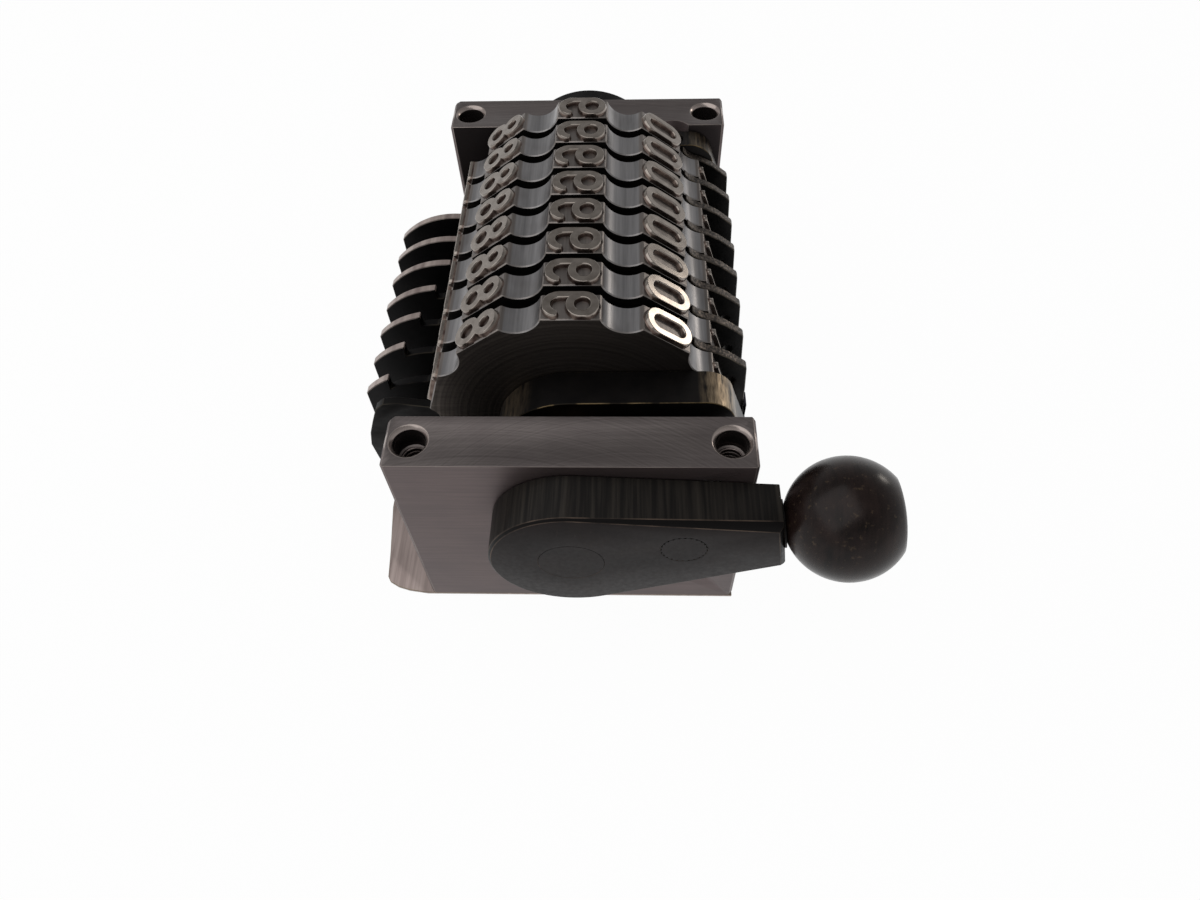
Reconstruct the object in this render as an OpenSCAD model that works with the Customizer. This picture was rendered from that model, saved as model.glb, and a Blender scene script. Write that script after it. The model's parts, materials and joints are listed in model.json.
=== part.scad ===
// Eight-wheel hand-lever numbering head.
// Two steel end plates carry a shaft along Y. Eight type wheels turn on the shaft.
// A hand lever swings the shaft, two arms and a row of feed pawls on the right.
// A row of holding fingers stands on the left. All sizes are in mm, +Z up.
// The origin is the middle of the resting face, straight below the shaft.

/* [Frame] */
// width of each end plate
plate_w = 38.1; // [32:0.1:46]
// height of the plates' top faces above the resting face
plate_h = 29.1; // [27.5:0.1:35]
// thickness of each end plate
plate_t = 6.35; // [5:0.05:8]
// length over both end plates
frame_l = 63.5; // [60:0.1:80]
// height of the shaft above the resting face
shaft_z = 19; // [18.7:0.1:22.8]
// thickness of the sheet under the plates
sheet_t = 0.4; // [0.3:0.05:0.45]
// how far the sheet stands out at the left
sheet_out = 7.25; // [4:0.05:9]
// distance of each tie bar from the middle
tie_x = 17.3; // [13:0.1:17.5]

/* [Top holes] */
// distance between the two tapped holes in one plate
hole_gap = 33; // [26:0.5:35]
// radius of the plain upper part of each hole
hole_r = 1.7; // [1.3:0.05:2]
// radius of the tapped lower part
tap_r = 1.38; // [1:0.01:1.6]
// radius of the countersink's mouth
sink_r = 2.05; // [1.8:0.05:2.6]
// depth of the plain part below the top face
hole_d = 3; // [2:0.1:5]
// depth of the tapped part below the top face
tap_d = 12; // [8:0.5:15]

/* [Type wheels] */
// number of wheels
wheel_n = 8; // [4:1:8]
// width of one wheel across its figures
wheel_w = 3.62; // [3:0.01:3.8]
// distance from one wheel to the next
pitch = 5; // [4.9:0.01:5.05]
// radius to the flat of a figure pad
flat_r = 17.12; // [15.5:0.01:17.3]
// radius of the hollow between two pads
hollow_r = 2.9; // [2.2:0.1:5]
// radius to the bottom of that hollow
hollow_bottom = 16.1; // [15.3:0.01:17]
// radius of the ratchet's tooth tips
tip_r = 15; // [12.5:0.05:15]
// radius of the ratchet's tooth roots
root_r = 11; // [9.5:0.05:11.5]
// radius of the shaft
shaft_r = 3.5; // [2.5:0.05:4.2]

/* [Feed pawls and holding fingers] */
// thickness of one blade
blade_t = 1.15; // [0.9:0.01:1.2]
// how far a nose reaches below the tooth tips
bite = 1; // [0.4:0.05:1]
// distance of the pawl rod to the right of the shaft
pawl_x = 18.2; // [18.1:0.05:18.6]
// distance of the pawl rod below the shaft
pawl_drop = 6.6; // [6.3:0.05:6.8]
// radius of the pawl rod
pawl_rod_r = 0.8; // [0.6:0.05:0.85]
// distance of the finger rod to the left of the shaft
finger_x = 16.8; // [16.6:0.05:17.2]
// distance of the finger rod below the shaft
finger_drop = 11.4; // [11:0.05:12]
// radius of the finger rod
finger_rod_r = 1.2; // [0.9:0.05:1.3]
// how far the fingers' tails reach to the left of the shaft
tail_x = 28.3; // [26:0.1:30]
// radius of the tails' curved back
tail_r = 11.08; // [10:0.02:11.6]
// depth of the step in a finger's back
tail_step = 1.6; // [1:0.1:2.2]
// how much further right each step lies than the one in front of it
step_gap = 1.43; // [1:0.01:1.6]

/* [Hand lever] */
// angle of the lever above level at rest
lever_a = 9.3; // [6:0.1:12]
// thickness of the lever
lever_t = 5.2; // [4:0.05:6.5]
// radius of the lever's round end
lever_r = 8.8; // [7.5:0.05:9.5]
// how far the lever's square end reaches past the plates' side
lever_l = 3.1; // [-2:0.05:7]
// height of that square end
lever_end = 7.8; // [6:0.1:9]
// length of the neck between the lever's end and the ball
neck_l = 0.2; // [0.1:0.05:3]
// height of the neck above the lever's middle line
neck_up = 0.45; // [0:0.05:1]
// radius of the ball
ball_r = 6.4; // [5:0.05:7]
// distance from the shaft to the stop pin
stop_d = 12.08; // [11:0.02:13]
// radius of the stop pin's grooved head
stop_r = 2.4; // [1.8:0.05:2.8]
// swing of the lever from rest to its stop
stroke = 36; // [36:0.5:37]
// depth of the lever's top bevel where it meets the neck
bevel_end = 0.6; // [0.21:0.01:0.9]

/* [Arms and collar] */
// thickness of the front arm
arm_t = 4.45; // [3.5:0.05:4.6]
// radius of the arms' hub
hub_r = 9.2; // [8:0.05:9.6]
// radius of the disc behind the back plate
disc_r = 10; // [8.5:0.05:10.2]
// thickness of that disc
disc_t = 2.5; // [2:0.05:4]
// radius of the return spring's wire
wire_r = 0.42; // [0.3:0.01:0.5]
// number of turns of the return spring
coils = 2.25; // [1.25:1:2.25]

/* [Hidden] */
$fn = 96;
run = 0.04;
front_y = -frame_l / 2;
back_y = frame_l / 2;
in_front = front_y + plate_t;
in_back = back_y - plate_t;
first_y = front_y + plate_t + 6.985;
gap = pitch - wheel_w;
tooth_t = gap - 0.13;
blade_in = (gap - blade_t) / 2;
pads = 10;
face_a = 21;
hold_a = face_a + 144;
nose_r = tip_r - bite;
clear_r = tip_r + 0.28;
pawl_z = shaft_z - pawl_drop;
finger_z = shaft_z - finger_drop;
tail_cz = shaft_z - 12.57;
tail_cx = -19.84;
bush_r = 5;
arm_y = first_y - 0.16 - arm_t;
back_arm_y = first_y + wheel_n * pitch + 0.25;
back_arm_t = 3.2;
lever_y = front_y - 0.15 - lever_t;
disc_y = back_y + 0.15;
shaft_end = disc_y + disc_t + 0.4;
stop_a = 14.5;
lever_d = plate_w / 2 + lever_l;
ball_flat = 0.96 * ball_r;
ball_d = lever_d + neck_l + ball_flat;
tie_z = sheet_t + 2;
tie_r = 1.5;
comb_x = pawl_x + 1.73;
screw_x = 12;
pocket_r = 8.2;
pocket_d = 3.9;
coil_r = 6.6;

// a point at radius r and angle a around the shaft, seen from the front
function pol(r, a) = [r * cos(a), shaft_z + r * sin(a)];
// the same around any centre
function at(c, r, a) = [c[0] + r * cos(a), c[1] + r * sin(a)];
// the angle of the line from p to q
function aim(p, q) = atan2(q[1] - p[1], q[0] - p[0]);
function span(p, q) = norm([q[0] - p[0], q[1] - p[1]]);

// a flat shape drawn in X and Z, made t thick from y0 towards the back
module slab(y0, t) {
  translate([0, y0 + t, 0])
    rotate([90, 0, 0])
      linear_extrude(height = t)
        children();
}

// a round bar along Y
module bar(x, z, r, y0, y1) {
  translate([x, y0, z])
    rotate([-90, 0, 0])
      cylinder(r = r, h = y1 - y0);
}

module disc(c, r) {
  translate([c[0], c[1]])
    circle(r = r);
}

// ---- frame ----

// one tapped hole with its countersink, cut from the top face
module top_hole(x, y) {
  translate([x, y, plate_h - tap_d])
    cylinder(r = tap_r, h = tap_d);
  translate([x, y, plate_h - hole_d])
    cylinder(r = hole_r, h = hole_d + 1);
  translate([x, y, plate_h - 0.45])
    cylinder(r1 = hole_r, r2 = sink_r + 0.35, h = 0.8);
}

// the plate's block, with its upright edges and top edges broken
module plate_block(y0) {
  w = plate_w / 2;
  c = 0.35;
  intersection() {
    translate([0, 0, sheet_t])
      linear_extrude(height = plate_h - sheet_t)
        polygon([
          [-w + c, y0], [w - c, y0], [w, y0 + c], [w, y0 + plate_t - c],
          [w - c, y0 + plate_t], [-w + 2 * c, y0 + plate_t],
          [-w, y0 + plate_t - 2 * c], [-w, y0 + c]
        ]);
    slab(y0, plate_t)
      polygon([
        [-w, 0], [w - 0.6, 0], [w - 0.6, sheet_t], [w, sheet_t + 0.6], [w, plate_h - 0.25], [w - 0.25, plate_h],
        [-w + 0.25, plate_h], [-w, plate_h - 0.25]
      ]);
  }
}

module plate_cuts(y0) {
  for (s = [-1, 1])
    top_hole(s * hole_gap / 2, y0 + plate_t / 2);
  for (s = [-1, 1])
    translate([s * 12, y0 + plate_t / 2, 0])
      cylinder(r = 1, h = 5.02);
  bar(0, shaft_z, bush_r, y0 - 1, y0 + plate_t + 1);
}

// the curved slot that the stop pin runs in
module stop_slot() {
  r = 1.6;
  c = 0.1 / stop_d * 57.3;
  a1 = stop_a + c;
  a0 = stop_a - stroke - c;
  intersection() {
    difference() {
      disc([0, shaft_z], stop_d + r);
      disc([0, shaft_z], stop_d - r);
    }
    polygon([[0, shaft_z], pol(20, a0), pol(20, (a0 + a1) / 2), pol(20, a1)]);
  }
  disc(pol(stop_d, a0), r);
  disc(pol(stop_d, a1), r);
}

module front_plate() {
  color([0.62, 0.60, 0.60])
    difference() {
      plate_block(front_y);
      plate_cuts(front_y);
      slab(front_y - 1, 3.7)
        stop_slot();
      for (s = [-1, 1])
        bar(s * tie_x, tie_z, tie_r, in_front - 3, in_front + 1);
      bar(-finger_x, finger_z, finger_rod_r, in_front - 3, in_front + 1);
    }
}

module back_plate() {
  color([0.62, 0.60, 0.60])
    difference() {
      plate_block(in_back);
      plate_cuts(in_back);
      bar(0, shaft_z, pocket_r, back_y - pocket_d, back_y + 1);
      bar(coil_r, shaft_z, wire_r + 0.1, back_y - pocket_d - 1.6, back_y);
      for (s = [-1, 1])
        bar(s * tie_x, tie_z, tie_r, in_back - 1, in_back + 3);
      bar(-finger_x, finger_z, finger_rod_r, in_back - 1, in_back + 3);
      translate([screw_x, in_back - 1.4, plate_h - 4])
        cylinder(r = 2.5, h = 5);
    }
}

module base_sheet() {
  w = plate_w / 2;
  l = w + sheet_out;
  color([0.80, 0.76, 0.75])
    difference() {
      linear_extrude(height = sheet_t)
        polygon([
          [w, front_y], [-w - 0.6, front_y], [-w - 3, front_y + 0.35], [-w - 4.5, front_y + 0.8],
          [-w - 5.7, front_y + 1.5], [-w - 6.1, front_y + 2.2], [-l + 0.85, front_y + 5.6],
          [-l, front_y + 12.8], [-l, back_y - 1], [-l + 1, back_y], [w, back_y]
        ]);
      for (y = [front_y, in_back])
        for (s = [-1, 1])
          translate([s * 12, y + plate_t / 2, -1])
            cylinder(r = 1, h = 2);
      for (y = [-11.7, 3.3, 18.3])
        translate([-20.9, y, -1])
          cylinder(r = 0.7, h = 2);
    }
}

// flush rivets that hold the sheet to the end plates
module base_rivets() {
  color([0.70, 0.67, 0.66])
    for (y = [front_y, in_back])
      for (s = [-1, 1])
        translate([s * 12, y + plate_t / 2, 0.02])
          cylinder(r = 1, h = 4.9);
}

module tie_bars() {
  color([0.45, 0.44, 0.44])
    for (s = [-1, 1])
      bar(s * tie_x, tie_z, tie_r, in_front - 2.95, in_back + 2.95);
}

module finger_rod() {
  color([0.45, 0.44, 0.44])
    bar(-finger_x, finger_z, finger_rod_r, in_front - 2.95, in_back + 2.95);
}

// a strip of spring steel with one leaf under each finger's tail
module finger_spring() {
  t = 0.3;
  z = sheet_t + 0.02;
  last = first_y + (wheel_n - 1) * pitch + wheel_w + gap;
  color([0.35, 0.34, 0.36])
    difference() {
      union() {
        translate([-22.4, first_y + 1, z])
          cube([3, last - first_y - 1, t]);
        for (k = [0:wheel_n - 1])
          slab(first_y + k * pitch + wheel_w + gap / 2 - 0.8, 1.6)
            polygon([
              [-22.3, z], [-22.6, z], [-23.2, z + 0.12], [-25.2, finger_z - 3.6],
              [-25.4, finger_z - 3.1], [-25.9, finger_z - 2.87], [-25.9, finger_z - 2.57],
              [-25.3, finger_z - 2.7], [-25.0, finger_z - 3.1], [-22.95, z + 0.5],
              [-22.5, z + t], [-22.3, z + t]
            ]);
      }
      for (y = [-11.7, 3.3, 18.3])
        translate([-20.9, y, 0])
          cylinder(r = 0.7, h = 3);
    }
}

module spring_rivets() {
  color([0.70, 0.67, 0.66])
    for (y = [-11.7, 3.3, 18.3]) {
      translate([-20.9, y, 0.02])
        cylinder(r = 0.7, h = sheet_t + 0.32);
      translate([-20.9, y, sheet_t + 0.32])
        cylinder(r1 = 1.2, r2 = 0.7, h = 0.5);
    }
}

module front_bush() {
  color([0.66, 0.52, 0.30])
    difference() {
      union() {
        bar(0, shaft_z, bush_r, front_y + 0.1, in_front);
        bar(0, shaft_z, 6.8, in_front, arm_y - 0.08);
      }
      bar(0, shaft_z, shaft_r + run, front_y - 1, arm_y + 1);
    }
}

module back_bush() {
  color([0.66, 0.52, 0.30])
    difference() {
      bar(0, shaft_z, bush_r, in_back, back_y - 0.2);
      bar(0, shaft_z, shaft_r + run, in_back - 1, back_y + 1);
    }
}

module thrust_washer() {
  color([0.55, 0.54, 0.54])
    difference() {
      bar(0, shaft_z, 6.8, back_arm_y + back_arm_t + 0.05, in_back - 0.03);
      bar(0, shaft_z, shaft_r + run, back_arm_y, in_back + 1);
    }
}

// ---- lever, shaft and arms ----

function lever_top() = at(pol(lever_d, lever_a), lever_end / 2, lever_a + 90);
function lever_low() = at(pol(lever_d, lever_a), lever_end / 2, lever_a - 90);

// sets its children on the neck's line, with Z pointing out from the shaft
module along_neck() {
  translate([0, lever_y + lever_t / 2, shaft_z])
    rotate([0, 90 - lever_a, 0])
      translate([-neck_up, 0, 0])
        children();
}

module lever_shape() {
  s = [0, shaft_z];
  p = lever_top();
  q = lever_low();
  ap = aim(s, p) + acos(lever_r / span(s, p));
  aq = aim(s, q) - acos(lever_r / span(s, q));
  disc(s, lever_r);
  polygon([s, at(s, lever_r, aq), q, p, at(s, lever_r, ap)]);
}

// cuts a bevel along the front edge that runs from p to q, c deep at p and c_end deep at q
module edge_bevel(p, q, c, c_end) {
  translate([p[0], lever_y, p[1]])
    rotate([0, -aim(p, q), 0])
      rotate([45, 0, 0])
        rotate([0, atan((c_end - c) / span(p, q)), 0])
          translate([-1, -2, -c])
            cube([span(p, q) + 2, 4, 4]);
}

// the same bevel round the lever's round end, between the two straight edges
module round_bevel(a0, a1, c) {
  r = lever_r;
  intersection() {
    translate([0, lever_y, shaft_z])
      rotate([-90, 0, 0])
        rotate_extrude()
          polygon([[r - c, 0], [r - c, -1], [r + 1, -1], [r + 1, c + 1]]);
    slab(lever_y - 2, lever_t)
      polygon([[0, shaft_z], pol(3 * r, a0), pol(3 * r, (a0 + a1) / 2), pol(3 * r, a1)]);
  }
}

module lever() {
  s = [0, shaft_z];
  p = lever_top();
  q = lever_low();
  ap = aim(s, p) + acos(lever_r / span(s, p));
  aq = aim(s, q) - acos(lever_r / span(s, q));
  c = 0.21;
  color([0.16, 0.15, 0.15])
    difference() {
      slab(lever_y, lever_t)
        lever_shape();
      edge_bevel(at(s, lever_r, ap), p, c, bevel_end);
      edge_bevel(q, at(s, lever_r, aq), c, c);
      edge_bevel(p, q, 0.35, 0.35);
      round_bevel(ap, aq + 360, c * sqrt(2));
      bar(0, shaft_z, shaft_r, lever_y - 1, front_y);
      translate([pol(stop_d, stop_a)[0], lever_y - 1, pol(stop_d, stop_a)[1]])
        rotate([-90, 0, 0])
          cylinder(r = stop_r, h = lever_t + 2);
      along_neck()
        translate([0, 0, stop_d + stop_r + 0.6])
          cylinder(r = 1.6, h = lever_d);
    }
}

module shaft() {
  color([0.22, 0.21, 0.21])
    difference() {
      bar(0, shaft_z, shaft_r, lever_y, shaft_end);
      for (y = [arm_y + 0.5, back_arm_y + 0.2])
        translate([-1, y, shaft_z + shaft_r - 1.2])
          cube([2, 2.8, 2]);
    }
}

// the grooved pin in the lever, with the nose that runs in the front plate's slot
module stop_pin() {
  c = pol(stop_d, stop_a);
  n = 24;
  color([0.20, 0.19, 0.19]) {
    slab(lever_y, lever_t)
      difference() {
        disc(c, stop_r);
        for (i = [0:n - 1])
          disc(at(c, stop_r, i * 360 / n), 0.14);
      }
    bar(c[0], c[1], 1.5, lever_y + lever_t, front_y + 2.5);
  }
}

// the ball: flat where it meets the neck, and a low dome turned on its outer end
module ball_knob() {
  dome_r = 2.2 * ball_r;
  dome_top = 0.88 * ball_r;
  color([0.12, 0.10, 0.10])
    along_neck()
      translate([0, 0, ball_d])
        difference() {
          intersection() {
            sphere(r = ball_r);
            translate([0, 0, dome_top - dome_r])
              sphere(r = dome_r);
            translate([0, 0, -ball_flat])
              cylinder(r = ball_r + 1, h = 2 * ball_r);
          }
          translate([0, 0, -ball_r - 1])
            cylinder(r = 1.6, h = ball_r + 4);
        }
}

module knob_stud() {
  color([0.14, 0.13, 0.13])
    along_neck() {
      translate([0, 0, stop_d + stop_r + 0.7])
        cylinder(r = 1.6, h = ball_d - stop_d - stop_r + 2);
      translate([0, 0, lever_d])
        cylinder(r = 2.5, h = neck_l);
    }
}

// the angle at which the outer tangent of two circles leaves the first one
function leave(p, rp, q, rq, side) = aim(p, q) + side * acos((rp - rq) / span(p, q));

// an arm: a hub, a round corner above and an eye for the pawl rod below
module arm(y, t) {
  s = [0, shaft_z];
  c = [14.1, shaft_z + 5.9];
  e = [pawl_x, pawl_z];
  rc = 3.5;
  re = 2.3;
  a1 = leave(s, hub_r, c, rc, 1);
  a2 = leave(c, rc, e, re, 1);
  a3 = leave(e, re, s, hub_r, 1);
  difference() {
    union() {
      slab(y, t)
        polygon([
          s, at(s, hub_r - 0.01, a1), at(c, rc - 0.01, a1), at(c, rc - 0.01, a2),
          [comb_x, e[1] + 6.2], [comb_x, e[1] + 0.3], e, at(e, re - 0.01, a3), at(s, hub_r - 0.01, a3)
        ]);
      bar(s[0], s[1], hub_r, y, y + t);
      bar(c[0], c[1], rc, y, y + t);
      bar(e[0], e[1], re, y, y + t);
    }
    bar(s[0], s[1], shaft_r, y - 1, y + t + 1);
    bar(e[0], e[1], pawl_rod_r, y - 1, y + t + 1);
    translate([-1, y - 1, shaft_z + shaft_r - 0.5])
      cube([2, t + 2, 1.5]);
  }
}

module arm_screw_hole(y) {
  translate([comb_x - 3, y, pawl_z + 2.2])
    rotate([0, 90, 0])
      cylinder(r = 0.6, h = 4);
}

module front_arm() {
  color([0.20, 0.19, 0.18])
    difference() {
      arm(arm_y, arm_t);
      arm_screw_hole(arm_y + arm_t - 1.3);
    }
}

// the back arm has a hole in its top, and the back plate is cut back to reach it
module back_arm() {
  color([0.20, 0.19, 0.18])
    difference() {
      arm(back_arm_y, back_arm_t);
      arm_screw_hole(back_arm_y + 1.3);
      translate([screw_x, back_arm_y + back_arm_t / 2, shaft_z + 6])
        cylinder(r = 1.3, h = 5);
    }
}

// square keys that fix the arms to the shaft
module arm_keys() {
  color([0.45, 0.44, 0.44])
    for (y = [arm_y + 0.5, back_arm_y + 0.2])
      translate([-1, y, shaft_z + shaft_r - 1.2])
        cube([2, 2.8, 2.2]);
}

module pawl_rod() {
  color([0.45, 0.44, 0.44])
    bar(pawl_x, pawl_z, pawl_rod_r, arm_y + 0.02, back_arm_y + back_arm_t - 0.02);
}

// a strip of spring steel between the arms, with one tongue behind each pawl
module pawl_spring() {
  t = 0.25;
  y0 = arm_y + arm_t - 2.6;
  y1 = back_arm_y + 2.6;
  z0 = pawl_z + 1.55;
  color([0.35, 0.34, 0.36])
    difference() {
      translate([comb_x, y0, z0])
        cube([t, y1 - y0, 2]);
      for (y = [y0 + 1.3, y1 - 1.3])
        translate([comb_x - 1, y, pawl_z + 2.2])
          rotate([0, 90, 0])
            cylinder(r = 0.6, h = 3);
    }
  color([0.35, 0.34, 0.36])
    for (k = [0:wheel_n - 1])
      translate([comb_x, first_y + k * pitch + wheel_w + gap / 2 - 1, z0 + 1.9])
        cube([t, 2, 2.2]);
}

module pawl_spring_screws() {
  color([0.50, 0.49, 0.49])
    for (y = [arm_y + arm_t - 1.3, back_arm_y + 1.3])
      translate([comb_x - 2.9, y, pawl_z + 2.2])
        rotate([0, 90, 0]) {
          cylinder(r = 0.6, h = 3.15);
          translate([0, 0, 3.15])
            difference() {
              cylinder(r = 1.05, h = 0.55);
              translate([-1.5, -0.12, 0.3])
                cube([3, 0.24, 1]);
            }
        }
}

module back_disc() {
  color([0.10, 0.10, 0.10])
    difference() {
      bar(0, shaft_z, disc_r, disc_y, disc_y + disc_t);
      bar(0, shaft_z, shaft_r, disc_y - 1, disc_y + disc_t + 1);
      bar(coil_r * cos(coils * 360), shaft_z - coil_r * sin(coils * 360), wire_r + 0.1, disc_y - 1, disc_y + 1.4);
      translate([0, disc_y + disc_t / 2, shaft_z])
        rotate([0, -90, 0])
          cylinder(r = 0.8, h = disc_r + 1);
    }
}

module disc_screw() {
  color([0.45, 0.44, 0.44])
    translate([-shaft_r - 0.03, disc_y + disc_t / 2, shaft_z])
      rotate([0, -90, 0])
        difference() {
          cylinder(r = 0.8, h = 3.6);
          translate([-1, -0.12, 3.1])
            cube([2, 0.24, 1]);
        }
}

// ---- return spring ----
// one unbroken round wire: a leg in the back plate, the turns, and a leg in the disc

coil_y0 = back_y - pocket_d + wire_r + 0.12;
coil_y1 = back_y - wire_r - 0.12;
leg_in = 1.3;
n_leg = 4;
n_coil = 24;
coil_n = round(coils * n_coil);
bend = 0.6;

function coil_p(i) =
  let (a = i / n_coil * 360, s = i / coil_n)
  [coil_r * cos(a), coil_y0 + (coil_y1 - coil_y0) * s, -coil_r * sin(a)];

wire_path = concat(
  [for (i = [0:n_leg - 1]) [coil_r, coil_y0 - leg_in - wire_r + i * leg_in / n_leg, 0]],
  [for (i = [0:coil_n]) coil_p(i)],
  [for (i = [1:n_leg]) coil_p(coil_n) + [0, wire_r + i * leg_in / n_leg, 0]]
);

function unit(v) = v / norm(v);
function tangent(i) =
  i == 0 ? unit(wire_path[1] - wire_path[0])
  : i == len(wire_path) - 1 ? unit(wire_path[i] - wire_path[i - 1])
  : unit(unit(wire_path[i + 1] - wire_path[i]) + unit(wire_path[i] - wire_path[i - 1]));
// the outward direction from the spring's axis, kept square to the wire
function outward(i) =
  let (p = wire_path[i], t = tangent(i), o = unit([p[0], 0, p[2]]))
  unit(o - t * (o * t));

sides = 8;
wire_pts = [
  for (i = [0:len(wire_path) - 1])
    let (t = tangent(i), o = outward(i), b = cross(t, o))
      for (j = [0:sides - 1])
        wire_path[i] + o * (wire_r * cos(j * 360 / sides)) + b * (wire_r * sin(j * 360 / sides))
];
rings = len(wire_path);
wire_faces = concat(
  [[for (j = [0:sides - 1]) j]],
  [for (i = [0:rings - 2])
    for (j = [0:sides - 1])
      let (a = i * sides + j, b = i * sides + (j + 1) % sides)
        [a, a + sides, b + sides]],
  [for (i = [0:rings - 2])
    for (j = [0:sides - 1])
      let (a = i * sides + j, b = i * sides + (j + 1) % sides)
        [a, b + sides, b]],
  [[for (j = [sides - 1:-1:0]) (rings - 1) * sides + j]]
);

// the least gap between one turn and the next, measured on the wire's own points
coil_gap = min([
  for (i = [n_leg:n_leg + coil_n - n_coil])
    for (m = [n_coil - 3:n_coil + 3])
      if (i + m < n_leg + coil_n)
        norm(wire_path[i + m] - wire_path[i]) - 2 * wire_r
]);
echo(return_spring_gap = coil_gap);

module return_spring() {
  color([0.40, 0.39, 0.40])
    translate([0, 0, shaft_z])
      polyhedron(points = wire_pts, faces = wire_faces, convexity = 6);
}

// ---- type wheels ----

module wheel_shape() {
  corner = flat_r / cos(180 / pads);
  difference() {
    polygon([for (i = [0:pads - 1]) pol(corner, 90 + (i + 0.5) * 360 / pads)]);
    for (i = [0:pads - 1])
      disc(pol(hollow_bottom + hollow_r, 90 + (i + 0.5) * 360 / pads), hollow_r);
  }
}

module ratchet_shape() {
  polygon([
    for (i = [0:pads - 1])
      for (r = [root_r, tip_r])
        pol(r, face_a + i * 360 / pads)
  ]);
}

module wheel(k) {
  y = first_y + k * pitch;
  color([0.66, 0.65, 0.66])
    difference() {
      union() {
        slab(y, wheel_w)
          wheel_shape();
        slab(y + wheel_w - 0.01, tooth_t + 0.01)
          ratchet_shape();
      }
      bar(0, shaft_z, shaft_r + run, y - 1, y + pitch + 1);
    }
}

// ---- holding fingers and feed pawls ----

// both noses stand in a tooth gap, one degree short of the tooth face at angle a
function nose_at(a) = [
  pol(clear_r - 0.12, a - 6.3), pol(nose_r, a - 1), pol(clear_r + 0.05, a - 0.9)
];

// the hook: from the eye up past the tooth tips, then down into the gap
module finger_hook() {
  f = [-finger_x, finger_z];
  a = hold_a;
  n = nose_at(a);
  polygon([
    at(f, 1.9, -10), pol(clear_r + 1.6, a + 49), pol(clear_r + 0.5, a + 40), pol(clear_r + 0.1, a + 32),
    pol(clear_r + 0.05, a + 24), pol(clear_r + 0.05, a + 16), pol(clear_r + 0.05, a + 8), n[2], n[1], n[0],
    pol(clear_r + 0.3, a - 7.4), pol(clear_r + 1, a - 7), pol(clear_r + 1.45, a - 2.5),
    pol(clear_r + 1.75, a + 6), pol(clear_r + 1.95, a + 14), [-18.3, shaft_z - 2],
    [-20.5, shaft_z - 3.6], [-21, finger_z + 3], [-20, finger_z]
  ]);
}

// the tail: a curved back with a step whose place differs from finger to finger
module finger_tail(k) {
  c = [tail_cx, tail_cz];
  x = -tail_x + 1.97 + step_gap * k;
  low = finger_z - 2.5;
  if (k == 0)
    polygon([
      [-tail_x + 0.7, low + 0.5], [-tail_x + 1.3, low], [-17.4, low], [-16.6, finger_z - 1], [-16.7, finger_z + 4],
      [-18.35, shaft_z - 2.1], [-20.6, shaft_z - 1.7], [-22.6, shaft_z - 1.3], [-24.4, shaft_z - 1.5],
      [-25.5, shaft_z - 2.5], [-26.5, shaft_z - 5], [-27.4, shaft_z - 7.5], [-27.9, shaft_z - 10]
    ]);
  if (k > 0)
    difference() {
      intersection() {
        disc(c, tail_r);
        polygon([
          [-tail_x, low + 0.8], [-tail_x + 0.8, low], [-17.4, low], [-16.6, finger_z - 1],
          [-16.6, shaft_z + 1], [-tail_x, shaft_z + 1]
        ]);
      }
      difference() {
        translate([x, finger_z])
          square([20, 20]);
        disc(c, tail_r - tail_step);
      }
    }
}

module finger(k) {
  color(k == 0 ? [0.14, 0.13, 0.14] : [0.20, 0.19, 0.20])
    slab(first_y + k * pitch + wheel_w + blade_in, blade_t)
      difference() {
        union() {
          disc([-finger_x, finger_z], 2.25);
          finger_tail(k);
          finger_hook();
        }
        disc([-finger_x, finger_z], finger_rod_r + run);
      }
}

module pawl(k) {
  e = [pawl_x, pawl_z];
  a = face_a;
  n = nose_at(a);
  u = shaft_z - 19;
  y = first_y + k * pitch + wheel_w + blade_in;
  color([0.19, 0.18, 0.18])
    difference() {
      union() {
        slab(y, blade_t)
          polygon([
            at(e, 1.3, 190), pol(clear_r + 1.5, -14), pol(clear_r + 0.45, -6), pol(clear_r + 0.1, 2),
            pol(clear_r + 0.1, 8), n[0], n[1], n[2], pol(clear_r + 0.1, a + 5),
            pol(clear_r + 0.3, a + 12), [13.26, 28.5 + u], [13.9, 27.75 + u], [14.8, 27.2 + u],
            [16, 26.8 + u], [17.4, 26 + u], [18.6, 25.05 + u], [19.4, 24.4 + u], [19.55, 24.1 + u],
            [19.62, 22.9 + u], [19.75, 20.5 + u], [pawl_x + 1.65, 17.1 + u], [pawl_x + 1.67, 15.6 + u],
            [pawl_x + 1.5, 14.6 + u], at(e, 1.3, 20)
          ]);
        bar(e[0], e[1], 1.6, y, y + blade_t);
      }
      bar(e[0], e[1], pawl_rod_r + run, y - 1, y + 3);
      bar(17.85, shaft_z + 3.1, 0.55, y - 1, y + 3);
    }
}

front_plate();
back_plate();
base_sheet();
base_rivets();
tie_bars();
finger_rod();
finger_spring();
spring_rivets();
front_bush();
back_bush();
thrust_washer();
lever();
shaft();
stop_pin();
ball_knob();
knob_stud();
front_arm();
back_arm();
arm_keys();
pawl_rod();
pawl_spring();
pawl_spring_screws();
back_disc();
disc_screw();
return_spring();
wheel(0);  // wheel_1
wheel(1);  // wheel_2
wheel(2);  // wheel_3
wheel(3);  // wheel_4
wheel(4);  // wheel_5
wheel(5);  // wheel_6
wheel(6);  // wheel_7
wheel(7);  // wheel_8
finger(0);  // finger_1
finger(1);  // finger_2
finger(2);  // finger_3
finger(3);  // finger_4
finger(4);  // finger_5
finger(5);  // finger_6
finger(6);  // finger_7
finger(7);  // finger_8
pawl(0);  // pawl_1
pawl(1);  // pawl_2
pawl(2);  // pawl_3
pawl(3);  // pawl_4
pawl(4);  // pawl_5
pawl(5);  // pawl_6
pawl(6);  // pawl_7
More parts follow.
